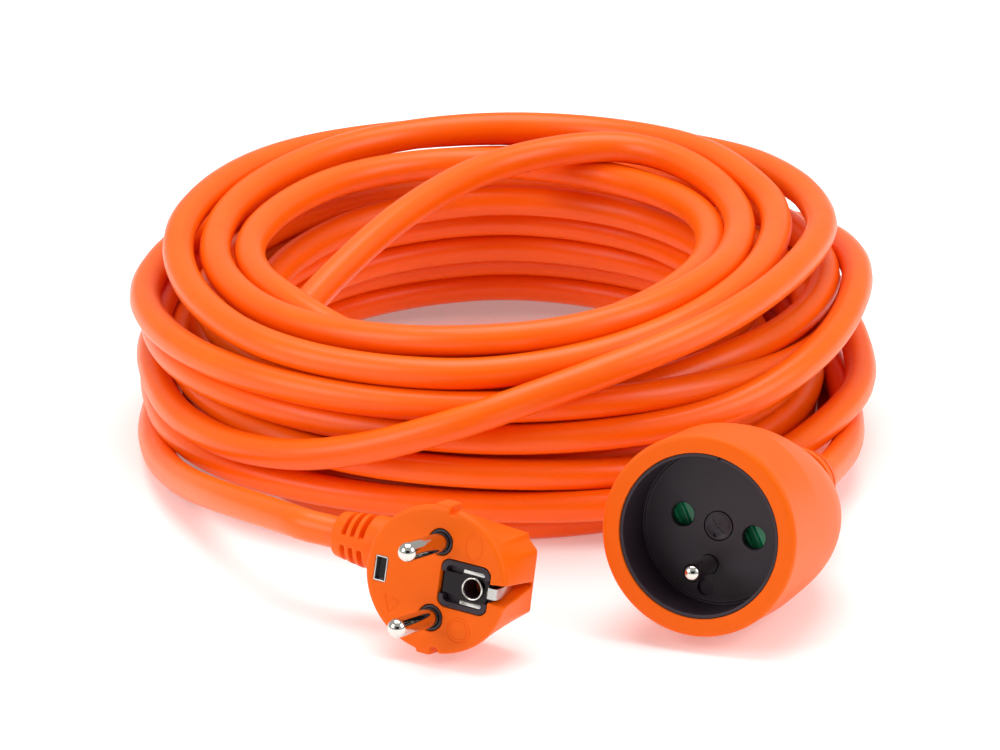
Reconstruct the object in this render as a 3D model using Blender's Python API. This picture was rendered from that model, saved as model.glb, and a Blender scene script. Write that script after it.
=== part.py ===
"""Portable extension cord: moulded plug, round socket with a safety shutter, and the coiled cord between.

Metres, +Z up. The origin is the bottom centre of the whole object; the plug and the socket lie in front (-Y)
of the coil. Each housing has its own frame: an empty at the middle of its mating face, with local +Z pointing
out of the face, so a depth inside a housing is a negative local z.
"""
import math

import bmesh
import bpy
import numpy as np
from mathutils import Euler, Matrix, Vector

# ---------------------------------------------------------------- driving dimensions (metres, degrees)
GAP = 0.0003                     # clearance between neighbouring solids

CORD_DIAMETER = 0.008            # three-core flexible cord, 1.5 mm2 cores
CORE_DIAMETER = 0.0026
CORE_CIRCLE = 0.0018             # radius on which the three cores sit in the jacket

COIL_Y = 0.0400                  # middle of the coil, which lies behind the plug and the socket
COIL_BACK = 0.009                # the ring's own middle lies this far behind COIL_Y
COIL_BOTTOM_RADII = (0.060, 0.094)
COIL_TOP_RADII = (0.052, 0.085)  # the upper turns are smaller than the lower ones
COIL_HEIGHT = 0.060
COIL_ROUND = 0.008

PIN_PITCH = 0.019                # line and neutral pins of both fittings
PIN_DIAMETER = 0.0048
PIN_LENGTH = 0.019
EARTH_OFFSET = 0.010             # from the line between the two pins to the earth contact

PLUG_PLACE = (-0.0157, COIL_Y - 0.1650, 0.0216)
PLUG_YAW, PLUG_TILT, PLUG_ROLL = -28.4, 10.0, -3.5
PLUG_RADIUS = 0.0185
PLUG_DEPTH = 0.019               # at the thin side, away from the cord
PLUG_SLOPE = 0.2                 # the rear face falls towards the cord side
FACE_WALL = 0.0012
NECK_RADIUS = 0.0070             # the stub on the plug's side that carries the cord out
COLLAR_RADIUS = 0.00315          # black rings around the feet of the pins
EARTH_BORE_RADIUS = 0.0031
BRIDGE_FRONT, BRIDGE_BACK = 0.0026, 0.0090
PIN_ROOT = 0.0108                # how deep a pin is held behind the face
STRAP_WIDTH = 0.0072
STRAP_THICK = 0.0007
CORD_AXIS_DEPTH = 0.0195         # the cord leaves sideways, this far behind the plug's face
PLUG_JACKET_END = 0.0172         # where the cord's jacket is stripped inside the plug, from its axis
RELIEF_START, RELIEF_END = 0.0200, 0.0400
RELIEF_RIBS = 5

SOCKET_PLACE = (0.0480, COIL_Y - 0.1546, 0.0289)
SOCKET_YAW, SOCKET_TILT, SOCKET_ROLL = -20.8, 9.6, -10.7
CUP_OUTER = 0.0204
CUP_INNER = 0.0195
CUP_DEPTH = 0.015
CUP_FLOOR = 0.002
HOLE_DIAMETER = 0.0058
EARTH_PIN_LENGTH = 0.014
SHUTTER_ARM = PIN_PITCH / 2      # the shutter turns on the middle post
SHUTTER_THICK = 0.0022
SHUTTER_PAD = 0.0037             # radius of the round pad behind each hole
SHUTTER_HUB = 0.0040
POST_RADIUS = 0.0015
SHELL_SEAT = 0.0375              # the step inside the shell on which the carrier rests
CARRIER_RADIUS = 0.0202
CARRIER_BACK = 0.036
CONTACT_SLOT = 0.0066
SOCKET_CRIMPS = 0.0415           # depth of the crimped barrels behind the rim
BOOT_RIBS = 4
BORE_BACK = 0.049
SOCKET_END = 0.066
BOOT_END = 0.086
JACKET_END = 0.0497              # where the cord's jacket is stripped inside the socket

SOCKET_PROFILE = [(0.0206, 0.0), (0.0236, 0.0), (0.0246, 0.0004), (0.0250, 0.0014), (0.0248, 0.0045),
                  (0.0243, 0.020), (0.0232, 0.034), (0.0208, 0.046), (0.0172, 0.054), (0.0138, 0.060),
                  (0.0104, SOCKET_END)]      # radius, depth behind the rim

CRIMP_INNER, CRIMP_OUTER = 0.00145, 0.0019
CRIMP_LENGTH = 0.0048
CORE_SPACING = 0.0016            # between the points of a core's route
LEAD_SPACING = 0.0060            # between the points of a lead's route
PAST_RELIEF = 0.0035             # the cord stays straight this far past a relief

ROUND = 40                       # sides of the large turned pieces
SMALL_ROUND = 16                 # sides of pins, holes and barrels
OFF_AXIS = 0.37                  # part of a side by which small turned pieces are turned off the large ones

# route points where the cord is not coiled: from inside the housing to the side of the coil
PLUG_ROUTE = [(-0.0500, COIL_Y - 0.1180, 0.0165), (-0.0625, COIL_Y - 0.0960, 0.0115),
              (-0.0750, COIL_Y - 0.0690, 0.0072), (-0.0850, COIL_Y - 0.0440, 0.0048),
              (-0.0890, COIL_Y - 0.0330, 0.0042)]
SOCKET_ROUTE = [(0.0842, COIL_Y - 0.0540, 0.0132), (0.0880, COIL_Y - 0.0400, 0.0122),
                (0.0892, COIL_Y - 0.0335, 0.0118)]


# ---------------------------------------------------------------- small tools
def clearScene():
    for item in list(bpy.data.objects):
        bpy.data.objects.remove(item, do_unlink=True)


def makeMaterial(name, colour, roughness, metallic=0.0):
    material = bpy.data.materials.new(name)
    material.use_nodes = True
    shader = material.node_tree.nodes["Principled BSDF"]
    shader.inputs["Base Color"].default_value = (*colour, 1.0)
    shader.inputs["Roughness"].default_value = roughness
    shader.inputs["Metallic"].default_value = metallic
    material.diffuse_color = (*colour, 1.0)
    return material


def makeFrame(name, place, yaw, tilt, roll):
    """An empty whose +Z leaves a housing's face; yaw 0 faces -Y, tilt lifts the face, roll turns it."""
    facing = Euler((math.radians(90), 0, 0)).to_matrix().to_4x4()
    turn = Matrix.Rotation(math.radians(yaw), 4, "Z")
    lift = Matrix.Rotation(math.radians(-tilt), 4, "X")
    spin = Matrix.Rotation(math.radians(roll), 4, "Z")
    empty = bpy.data.objects.new(name, None)
    bpy.context.scene.collection.objects.link(empty)
    empty.matrix_world = Matrix.Translation(place) @ turn @ lift @ facing @ spin
    return empty


def addObject(name, bm, material=None, parent=None, place=(0, 0, 0), turn=(0, 0, 0)):
    bmesh.ops.recalc_face_normals(bm, faces=bm.faces)
    mesh = bpy.data.meshes.new(name)
    bm.to_mesh(mesh)
    bm.free()
    item = bpy.data.objects.new(name, mesh)
    bpy.context.scene.collection.objects.link(item)
    item.location = place
    item.rotation_euler = [math.radians(angle) for angle in turn]
    item.parent = parent
    if material:
        mesh.materials.append(material)
        mesh.shade_smooth()
        mesh.set_sharp_from_angle(angle=math.radians(35))
    else:
        item.hide_render = True
        item.display_type = "WIRE"
    return item


def turned(profile, sides=ROUND):
    """A solid turned about local Z from a closed loop of (radius, z) points, or a line with both ends on Z."""
    bm = bmesh.new()
    shift = OFF_AXIS if sides < ROUND else 0.0
    rings = []
    for radius, z in profile:
        if radius < 1e-6:
            rings.append([bm.verts.new((0, 0, z))])
            continue
        angles = [2 * math.pi * (step + shift) / sides for step in range(sides)]
        rings.append([bm.verts.new((radius * math.cos(a), radius * math.sin(a), z)) for a in angles])
    closed = len(rings[0]) > 1
    count = len(rings) if closed else len(rings) - 1
    for index in range(count):
        first, second = rings[index], rings[(index + 1) % len(rings)]
        for step in range(sides):
            after = (step + 1) % sides
            corners = [first[step % len(first)], first[after % len(first)],
                       second[after % len(second)], second[step % len(second)]]
            bm.faces.new(list(dict.fromkeys(corners)))
    return bm


def rod(radius, low, high, sides=SMALL_ROUND):
    return turned([(0, low), (radius, low), (radius, high), (0, high)], sides)


def prism(outline, low, high):
    """An outline of (x, y) points extruded along local Z."""
    bm = bmesh.new()
    bottom = [bm.verts.new((x, y, low)) for x, y in outline]
    top = [bm.verts.new((x, y, high)) for x, y in outline]
    bm.faces.new(bottom)
    bm.faces.new(top)
    for index in range(len(outline)):
        after = (index + 1) % len(outline)
        bm.faces.new([bottom[index], bottom[after], top[after], top[index]])
    return bm


def block(size, centre=(0, 0, 0)):
    bm = bmesh.new()
    bmesh.ops.create_cube(bm, size=1.0)
    bmesh.ops.scale(bm, vec=size, verts=bm.verts)
    bmesh.ops.translate(bm, vec=centre, verts=bm.verts)
    return bm


def roundedOutline(width, height, radius, steps=4):
    points = []
    for quarter, (sx, sy) in enumerate([(1, 1), (-1, 1), (-1, -1), (1, -1)]):
        for step in range(steps + 1):
            angle = math.radians(90 * quarter + 90 * step / steps)
            points.append((sx * (width / 2 - radius) + radius * math.cos(angle),
                           sy * (height / 2 - radius) + radius * math.sin(angle)))
    return points


def ribbon(line, thickness):
    """A closed outline of one thickness around an open line of (x, y) points."""
    points = [Vector(point) for point in line]
    left, right = [], []
    for index, point in enumerate(points):
        before = points[max(index - 1, 0)]
        after = points[min(index + 1, len(points) - 1)]
        incoming = (point - before).normalized() if index else (after - point).normalized()
        outgoing = (after - point).normalized() if index < len(points) - 1 else incoming
        along = (incoming + outgoing).normalized()
        side = Vector((-along.y, along.x)) * (thickness / 2 / max(0.4, along.dot(incoming)))
        left.append(tuple(point + side))
        right.append(tuple(point - side))
    return left + right[::-1]


def boolean(target, cutter, operation="DIFFERENCE"):
    modifier = target.modifiers.new(operation.lower() + "_" + cutter.name, "BOOLEAN")
    modifier.operation = operation
    modifier.object = cutter


def cut(target, bm, parent, place=(0, 0, 0), turn=(0, 0, 0)):
    cutter = addObject("cutter_" + target.name, bm, None, parent, place, turn)
    boolean(target, cutter)


def smoothRoute(points, spacing):
    """Points about one spacing apart on a Catmull-Rom curve through the given ones."""
    knots = [np.array(point, float) for point in points]
    knots = [2 * knots[0] - knots[1]] + knots + [2 * knots[-1] - knots[-2]]
    dense = []
    for a, b, c, d in zip(knots, knots[1:], knots[2:], knots[3:]):
        for t in np.linspace(0, 1, 24, endpoint=False):
            dense.append(0.5 * (2 * b + (c - a) * t + (2 * a - 5 * b + 4 * c - d) * t ** 2
                                + (3 * b - a - 3 * c + d) * t ** 3))
    dense = np.array(dense + [knots[-2]])
    run = np.concatenate([[0], np.cumsum(np.linalg.norm(np.diff(dense, axis=0), axis=1))])
    stops = np.linspace(0, run[-1], max(2, round(run[-1] / spacing) + 1))
    return [tuple(float(np.interp(stop, run, dense[:, axis])) for axis in range(3)) for stop in stops]


def tube(name, points, diameter, material, resolution=2):
    curve = bpy.data.curves.new(name, "CURVE")
    curve.dimensions = "3D"
    curve.bevel_depth = diameter / 2
    curve.bevel_resolution = resolution
    curve.use_fill_caps = True
    spline = curve.splines.new("POLY")
    spline.points.add(len(points) - 1)
    for slot, point in zip(spline.points, points):
        slot.co = (*point, 1.0)
    spline.use_smooth = True
    item = bpy.data.objects.new(name, curve)
    bpy.context.scene.collection.objects.link(item)
    curve.materials.append(material)
    return item


def inFrame(frame, points):
    return [tuple(frame.matrix_world @ Vector(point)) for point in points]


# ---------------------------------------------------------------- materials
clearScene()
pvcOrange = makeMaterial("orange_pvc", (0.95, 0.16, 0.01), 0.42)
jacketOrange = makeMaterial("orange_cord_jacket", (0.90, 0.13, 0.01), 0.45)
blackPlastic = makeMaterial("black_thermoplastic", (0.02, 0.018, 0.02), 0.5)
nickel = makeMaterial("nickel_plated_brass", (0.75, 0.73, 0.70), 0.2, 1.0)
springSteel = makeMaterial("spring_steel", (0.55, 0.55, 0.55), 0.35, 1.0)
brass = makeMaterial("brass", (0.75, 0.55, 0.25), 0.35, 1.0)
greenPlastic = makeMaterial("green_thermoplastic", (0.0, 0.16, 0.06), 0.4)
coreColours = {"line": makeMaterial("brown_core", (0.12, 0.05, 0.02), 0.5),
               "neutral": makeMaterial("blue_core", (0.02, 0.10, 0.45), 0.5),
               "earth": makeMaterial("green_yellow_core", (0.35, 0.55, 0.05), 0.5)}

plugFrame = makeFrame("plug_frame", PLUG_PLACE, PLUG_YAW, PLUG_TILT, PLUG_ROLL)
socketFrame = makeFrame("socket_frame", SOCKET_PLACE, SOCKET_YAW, SOCKET_TILT, SOCKET_ROLL)
bpy.context.view_layer.update()
HALF_PITCH = PIN_PITCH / 2
CORD_BORE = CORD_DIAMETER / 2 + GAP


# ---------------------------------------------------------------- plug
def plugBodyShape():
    """A round body whose rear face slopes: each ring drops with its distance from the thin side."""
    rings = [(PLUG_RADIUS - 0.0008, 0.0, 0.0), (PLUG_RADIUS, 0.0008, 0.0), (PLUG_RADIUS, 0.010, 0.0),
             (PLUG_RADIUS, 0.0165, 0.75), (PLUG_RADIUS - 0.0012, 0.0184, 0.95),
             (PLUG_RADIUS - 0.004, PLUG_DEPTH, 1.0)]
    bm = bmesh.new()
    loops = []
    for radius, depth, share in rings:
        loop = []
        for step in range(ROUND):
            angle = 2 * math.pi * step / ROUND
            x = radius * math.cos(angle)
            drop = share * PLUG_SLOPE * (PLUG_RADIUS - x)
            loop.append(bm.verts.new((x, radius * math.sin(angle), -depth - drop)))
        loops.append(loop)
    for first, second in zip(loops, loops[1:]):
        for step in range(ROUND):
            after = (step + 1) % ROUND
            bm.faces.new([first[step], first[after], second[after], second[step]])
    bm.faces.new(loops[0])
    bm.faces.new(loops[-1])
    return bm


def makePlugBody():
    body = addObject("plug_body", plugBodyShape(), pvcOrange, plugFrame)
    neck = addObject("neck_of_plug", rod(NECK_RADIUS, 0.0043, RELIEF_START - GAP, 20), None, plugFrame,
                     (0, 0, -CORD_AXIS_DEPTH), (0, -90, 0))
    boolean(body, neck, "UNION")
    cut(body, block((0.031, 0.0256, 0.0128), (0, 0, -FACE_WALL - 0.0064)), plugFrame)
    cut(body, block((0.0175, 0.014, 0.0110), (-0.0080, 0, -0.0185)), plugFrame)
    cut(body, prism(roundedOutline(0.0124, 0.0112, 0.0022), -0.003, 0.001), plugFrame, (0.0082, 0, 0))
    for side in (-1, 1):
        cut(body, rod(0.00345, -0.003, 0.001), plugFrame, (0, side * HALF_PITCH, 0))
        cut(body, block((0.0060, 0.0078, 0.0170), (side * 0.0160, 0, -0.0075)), plugFrame)
        cut(body, block((0.0054, 0.0040, 0.0170), (0, side * 0.0186, -0.0075)), plugFrame)
    cut(body, rod(CORD_BORE, 0.0113, 0.030, 20), plugFrame, (0, 0, -CORD_AXIS_DEPTH), (0, -90, 0))


def makePlugInside():
    outline = roundedOutline(0.0262, 0.0250, 0.003)
    plate = prism(outline, -BRIDGE_BACK, -BRIDGE_FRONT)
    bridge = addObject("plug_inner_bridge", plate, blackPlastic, plugFrame)
    for side in (-1, 1):
        collar = addObject("collar_of_bridge", rod(COLLAR_RADIUS, -0.0040, 0.0002), None, plugFrame,
                           (0, side * HALF_PITCH, 0))
        boolean(bridge, collar, "UNION")
    bores = ((0, -HALF_PITCH, 0.0027), (0, HALF_PITCH, 0.0027), (EARTH_OFFSET, 0, EARTH_BORE_RADIUS))
    for x, y, radius in bores:
        cut(bridge, rod(radius, -0.010, 0.001), plugFrame, (x, y, 0))
    for name, side in (("plug_pin_line", 1), ("plug_pin_neutral", -1)):
        addObject(name, pinShape(PIN_LENGTH, PIN_ROOT), nickel, plugFrame, (0, side * HALF_PITCH, 0))
    sleeve = [(0.00245, -0.0004), (0.0028, -0.0004), (0.0028, -0.0125), (0.00245, -0.0125)]
    addObject("plug_earth_sleeve", turned(sleeve, SMALL_ROUND), nickel, plugFrame, (EARTH_OFFSET, 0, 0))
    makeEarthBracket()
    makeCrimpsAndCores()


def pinShape(length, root):
    """A round pin with a hemispherical tip; root is how deep it is held."""
    radius = PIN_DIAMETER / 2
    profile = [(0, -root), (radius, -root), (radius, length - radius)]
    for step in range(1, 5):
        angle = math.radians(90 * step / 4)
        height = length - radius + radius * math.sin(angle)
        profile.append((radius * math.cos(angle) if step < 4 else 0, height))
    return turned(profile, SMALL_ROUND)


def makeEarthBracket():
    """One pressed strip: a bar across the face and a folded contact spring at each side."""
    half = [(0.0128, -0.0019), (0.0137, -0.0026), (0.0137, -0.0134), (0.0145, -0.0144), (0.0153, -0.0134),
            (0.0166, -0.0070), (0.0157, -0.0008)]
    line = [(-x, z) for x, z in half[::-1]] + half
    strip = prism(ribbon(line, STRAP_THICK), -STRAP_WIDTH / 2, STRAP_WIDTH / 2)
    bracket = addObject("plug_earth_bracket", strip, springSteel, plugFrame, (0, 0, 0), (90, 0, 0))
    cut(bracket, rod(EARTH_BORE_RADIUS, -0.004, 0.001), plugFrame, (EARTH_OFFSET, 0, 0))


def crimp(name, place, turn, parent):
    barrel = [(CRIMP_INNER, 0), (CRIMP_OUTER, 0), (CRIMP_OUTER, CRIMP_LENGTH), (CRIMP_INNER, CRIMP_LENGTH)]
    addObject(name, turned(barrel, 12), brass, parent, place, turn)


def makeCrimpsAndCores():
    """The cord's three cores end in crimped barrels behind the bridge."""
    for name, y, angle in (("line", 0.0046, 35), ("neutral", -0.0046, -35), ("earth", 0.0, 180)):
        end = (-0.0004, y, -0.0161)
        crimp("plug_crimp_" + name, end, (0, -90, 0), plugFrame)
        turn = math.radians(angle)
        across, up = CORE_CIRCLE * math.sin(turn), CORE_CIRCLE * math.cos(turn)
        start = (-PLUG_JACKET_END + GAP, across * 1.3, -CORD_AXIS_DEPTH + up)
        route = [start, (-PLUG_JACKET_END + 0.0030, start[1] * 1.2, start[2]),
                 (-0.0090, end[1] * 0.8, end[2]), (-0.0056, end[1], end[2])]
        tube("plug_core_" + name, inFrame(plugFrame, smoothRoute(route, CORE_SPACING)), CORE_DIAMETER,
             coreColours[name])


def makePlugRelief():
    """A ribbed, tapered sleeve that keeps the cord from kinking at the plug."""
    outer = [(0.0069, RELIEF_START)]
    pitch = (RELIEF_END - RELIEF_START) / RELIEF_RIBS
    for rib in range(RELIEF_RIBS):
        depth = RELIEF_START + rib * pitch
        radius = 0.0069 - 0.00042 * rib
        outer += [(radius, depth + pitch * 0.55), (radius - 0.0009, depth + pitch * 0.65)]
        outer += [(radius - 0.0009, depth + pitch * 0.95), (radius - 0.00042, depth + pitch)]
    outer[-1] = (0.0050, RELIEF_END)
    inner = [(CORD_BORE, RELIEF_END), (CORD_BORE, RELIEF_START)]
    addObject("plug_strain_relief", turned(outer + inner, 20), pvcOrange, plugFrame,
              (0, 0, -CORD_AXIS_DEPTH), (0, -90, 0))


# ---------------------------------------------------------------- socket
def makeSocketShell():
    outer = [(radius, -depth) for radius, depth in SOCKET_PROFILE]
    outer[0] = (CUP_OUTER + GAP, 0.0)
    inner = [(CORD_BORE, -SOCKET_END), (CORD_BORE, -BORE_BACK), (0.0140, -BORE_BACK), (0.0140, -SHELL_SEAT),
             (CUP_OUTER + GAP, -SHELL_SEAT)]
    addObject("socket_body", turned(outer + inner), pvcOrange, socketFrame)
    pitch = (BOOT_END - SOCKET_END) / BOOT_RIBS
    sleeve = [(0.0094, -SOCKET_END - GAP)]
    for rib in range(BOOT_RIBS):
        depth = SOCKET_END + GAP + rib * pitch
        radius = 0.0092 - 0.0008 * rib
        sleeve += [(radius, -depth - pitch * 0.55), (radius - 0.0010, -depth - pitch * 0.65)]
        sleeve += [(radius - 0.0010, -depth - pitch * 0.92), (radius - 0.0008, -depth - pitch)]
    sleeve[-1] = (0.0054, -BOOT_END)
    sleeve += [(CORD_BORE, -BOOT_END), (CORD_BORE, -SOCKET_END - GAP)]
    addObject("socket_strain_relief", turned(sleeve, 24), pvcOrange, socketFrame)


def makeSocketCup():
    lip = -0.0004
    floorBack = -CUP_DEPTH - CUP_FLOOR
    recess = -CUP_DEPTH - 0.0011
    cup = [(0.0018, floorBack), (0.0018, recess), (0.0038, recess), (0.0038, -CUP_DEPTH),
           (CUP_INNER, -CUP_DEPTH), (CUP_INNER, lip), (CUP_OUTER, lip), (CUP_OUTER, floorBack)]
    item = addObject("socket_cup", turned(cup), blackPlastic, socketFrame)
    for side in (-1, 1):
        cut(item, rod(HOLE_DIAMETER / 2, -0.020, -0.010), socketFrame, (side * HALF_PITCH, 0, 0))
    cut(item, rod(PIN_DIAMETER / 2 + GAP, -0.020, -0.010), socketFrame, (0, -EARTH_OFFSET, 0))


def makeSocketCarrier():
    """Holds the contacts behind the cup; a round well at its front leaves the shutter room to turn."""
    front = -CUP_DEPTH - CUP_FLOOR - GAP
    wellFloor = front - SHUTTER_THICK - 2 * GAP
    seat = wellFloor - 0.0030
    profile = [(0.0018, -CARRIER_BACK), (CARRIER_RADIUS, -CARRIER_BACK), (CARRIER_RADIUS, front),
               (0.0142, front), (0.0142, wellFloor), (0.0042, wellFloor), (0.0042, seat), (0.0018, seat)]
    item = addObject("socket_carrier", turned(profile), blackPlastic, socketFrame)
    for side in (-1, 1):
        slot = block((CONTACT_SLOT, CONTACT_SLOT, 0.020), (side * HALF_PITCH, 0, -0.0290))
        cut(item, slot, socketFrame)
    cut(item, rod(PIN_DIAMETER / 2 + GAP, -0.040, -0.010), socketFrame, (0, -EARTH_OFFSET, 0))


def makeSocketShutter():
    """A two-armed turning shutter; its origin is on the middle post, its turning axis."""
    middle = -CUP_DEPTH - CUP_FLOOR - 2 * GAP - SHUTTER_THICK / 2
    outline = []
    for side in (1, -1):
        for step in range(9):
            angle = math.radians(-110 + 220 * step / 8) + (0 if side > 0 else math.pi)
            x = side * SHUTTER_ARM + SHUTTER_PAD * math.cos(angle)
            outline.append((x, SHUTTER_PAD * math.sin(angle)))
        for step in range(3):
            angle = math.radians(52 + 38 * step) + (0 if side > 0 else math.pi)
            outline.append((SHUTTER_HUB * math.cos(angle), SHUTTER_HUB * math.sin(angle)))
    half = SHUTTER_THICK / 2
    plate = prism(outline, -half, half)
    shutter = addObject("socket_shutter", plate, greenPlastic, socketFrame, (0, 0, middle))
    cut(shutter, rod(0.0018, -0.004, 0.004, 12), socketFrame, (0, 0, middle))
    makeShutterSpring(middle - half - GAP)
    makeCentreRivet()


def makeShutterSpring(top):
    """Three turns of wire under the shutter that bring it back over the holes."""
    wire, radius, pitch = 0.0005, 0.0027, 0.0007
    turns, steps = 3, 12
    points = []
    for step in range(turns * steps + 1):
        angle = 2 * math.pi * step / steps
        height = top - wire / 2 - pitch * step / steps
        points.append((radius * math.cos(angle), radius * math.sin(angle), height))
    tube("socket_shutter_spring", inFrame(socketFrame, points), wire, springSteel, 1)


def makeCentreRivet():
    """The post the shutter turns on; its head shows in the middle of the cup's floor."""
    headLow, headTop = -CUP_DEPTH - 0.0008, -CUP_DEPTH + 0.0001
    footTop, footLow = -CARRIER_BACK - GAP, -CARRIER_BACK - 0.0019
    post = [(0, footLow), (0.0027, footLow), (0.0027, footTop), (POST_RADIUS, footTop),
            (POST_RADIUS, headLow), (0.0035, headLow), (0.0035, headTop), (0, headTop)]
    addObject("socket_centre_rivet", turned(post), blackPlastic, socketFrame)


def makeSocketContacts():
    """Each live contact is a folded strip that grips a pin from both sides."""
    wellFloor = -CUP_DEPTH - CUP_FLOOR - 3 * GAP - SHUTTER_THICK
    loop = [(0.0016, 0.0027), (-0.0026, 0.0027), (-0.0026, -0.0027), (0.0016, -0.0027)]
    for name, side in (("line", 1), ("neutral", -1)):
        contact = prism(ribbon([(side * x, y) for x, y in loop], 0.0005), -CARRIER_BACK, wellFloor - GAP)
        addObject("socket_contact_" + name, contact, brass, socketFrame, (side * HALF_PITCH, 0, 0))
    addObject("socket_earth_pin", pinShape(EARTH_PIN_LENGTH, 0.0215), nickel, socketFrame,
              (0, -EARTH_OFFSET, -CUP_DEPTH))
    ends = {"line": (HALF_PITCH, 0.0, -SOCKET_CRIMPS), "neutral": (-HALF_PITCH, 0.0, -SOCKET_CRIMPS),
            "earth": (0.0, -EARTH_OFFSET, -SOCKET_CRIMPS - GAP)}
    across, up = CORE_CIRCLE * 0.935, CORE_CIRCLE * 0.6
    starts = {"line": (across, up), "neutral": (-across, up), "earth": (0.0, -CORE_CIRCLE * 1.1)}
    for name, end in ends.items():
        crimp("socket_crimp_" + name, end, (0, 0, 0), socketFrame)
        start = (*starts[name], -JACKET_END + 0.0010)
        route = [start, (start[0] * 1.1, start[1] * 1.1, -0.0476), (end[0] * 0.7, end[1] * 0.7, -0.0452),
                 (end[0] * 0.985, end[1] * 0.985, end[2] - 0.0019)]
        tube("socket_core_" + name, inFrame(socketFrame, smoothRoute(route, CORE_SPACING)), CORE_DIAMETER,
             coreColours[name])


# ---------------------------------------------------------------- cord
def makeCord():
    """The coil is one ring of the turns' outer shape; the two leads run from it into the fittings."""
    edge = COIL_ROUND
    bottomInner, bottomOuter = COIL_BOTTOM_RADII
    topInner, topOuter = COIL_TOP_RADII
    corners = [(bottomOuter - edge, edge, -90), (topOuter - edge, COIL_HEIGHT - edge, 0),
               (topInner + edge, COIL_HEIGHT - edge, 90), (bottomInner + edge, edge, 180)]
    profile = []
    for x, z, start in corners:
        for step in range(4):
            angle = math.radians(start + 90 * step / 3)
            profile.append((x + edge * math.cos(angle), z + edge * math.sin(angle)))
    addObject("cord_coil", turned(profile, 48), jacketOrange, None, (0, COIL_Y + COIL_BACK, 0))
    depths = (PLUG_JACKET_END, 0.0300, RELIEF_END, RELIEF_END + PAST_RELIEF)
    inside = inFrame(plugFrame, [(-x, 0, -CORD_AXIS_DEPTH) for x in depths])
    tube("cord_lead_plug", smoothRoute(inside + PLUG_ROUTE, LEAD_SPACING), CORD_DIAMETER, jacketOrange)
    depths = (JACKET_END, 0.0680, BOOT_END, BOOT_END + PAST_RELIEF)
    inside = inFrame(socketFrame, [(0, 0, -depth) for depth in depths])
    tube("cord_lead_socket", smoothRoute(inside + SOCKET_ROUTE, LEAD_SPACING), CORD_DIAMETER, jacketOrange)


makePlugBody()
makePlugInside()
makePlugRelief()
makeSocketShell()
makeSocketCup()
makeSocketCarrier()
makeSocketShutter()
makeSocketContacts()
makeCord()
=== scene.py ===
import math

import bmesh
import bpy
import numpy as np
from mathutils import Matrix, Vector, kdtree


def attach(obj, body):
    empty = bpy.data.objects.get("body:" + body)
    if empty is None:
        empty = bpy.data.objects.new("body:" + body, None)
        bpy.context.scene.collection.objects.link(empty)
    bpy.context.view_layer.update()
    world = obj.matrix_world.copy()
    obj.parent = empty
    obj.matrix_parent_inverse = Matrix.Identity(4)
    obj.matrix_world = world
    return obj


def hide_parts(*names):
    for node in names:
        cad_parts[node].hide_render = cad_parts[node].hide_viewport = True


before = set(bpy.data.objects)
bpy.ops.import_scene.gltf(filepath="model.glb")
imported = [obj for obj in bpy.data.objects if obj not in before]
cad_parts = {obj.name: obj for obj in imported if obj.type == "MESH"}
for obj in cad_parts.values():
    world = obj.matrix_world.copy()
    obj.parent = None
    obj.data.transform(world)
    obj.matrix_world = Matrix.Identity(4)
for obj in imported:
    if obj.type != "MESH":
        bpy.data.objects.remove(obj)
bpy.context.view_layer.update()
mm = 0.001
cordSet = "cord_set"            # everything but the safety shutter rides on this body
shutter = "shutter"
coilY = 0.0400                  # the floor point about which the coil's turns are laid

# the camera, on the object's middle line
cameraSettings = {"elevation": 20.0, "distance": 3.0, "lens": 423.0, "target": (0.0, coilY, 14.3 * mm)}


def makeCamera():
    lift = math.radians(cameraSettings["elevation"])
    data = bpy.data.cameras.new("camera")
    data.lens = cameraSettings["lens"]
    data.clip_end = 20.0
    item = bpy.data.objects.new("camera", data)
    bpy.context.scene.collection.objects.link(item)
    away = Vector((0, -math.cos(lift), math.sin(lift)))
    item.location = Vector(cameraSettings["target"]) + away * cameraSettings["distance"]
    item.rotation_euler = (math.radians(90) - lift, 0, 0)
    bpy.context.scene.camera = item


makeCamera()
print("camera set")


def linearColour(hexText):
    # an sRGB hex value as linear red, green, blue and alpha
    values = []
    for start in (0, 2, 4):
        value = int(hexText[start:start + 2], 16) / 255
        values.append(value / 12.92 if value <= 0.04045 else ((value + 0.055) / 1.055) ** 2.4)
    return (*values, 1.0)


def addNode(tree, kind, settings=None, links=None):
    # a node with its sockets or properties set, and its inputs linked
    node = tree.nodes.new(kind)
    for name, value in (settings or {}).items():
        if name in node.inputs:
            node.inputs[name].default_value = value
        else:
            setattr(node, name, value)
    for name, source in (links or {}).items():
        tree.links.new(source, node.inputs[name])
    return node


def newMaterial(name, settings):
    material = bpy.data.materials.new(name)
    material.use_nodes = True
    tree = material.node_tree
    tree.nodes.clear()
    shader = addNode(tree, "ShaderNodeBsdfPrincipled", settings)
    addNode(tree, "ShaderNodeOutputMaterial", None, {"Surface": shader.outputs["BSDF"]})
    place = addNode(tree, "ShaderNodeTexCoord").outputs["Object"]
    return material, tree, shader, place


def twoTone(tree, place, shader, size, detail, colours):
    # soft clouds of two near colours; size is a cloud's width
    cloud = addNode(tree, "ShaderNodeTexNoise", {"Scale": 1 / size, "Detail": detail}, {"Vector": place})
    mix = addNode(tree, "ShaderNodeMix", {"data_type": "RGBA"}, {"Factor": cloud.outputs["Fac"]})
    first, second = [socket for socket in mix.inputs if socket.type == "RGBA"]
    first.default_value = linearColour(colours[0])
    second.default_value = linearColour(colours[1])
    blend = next(socket for socket in mix.outputs if socket.type == "RGBA")
    tree.links.new(blend, shader.inputs["Base Color"])


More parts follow.
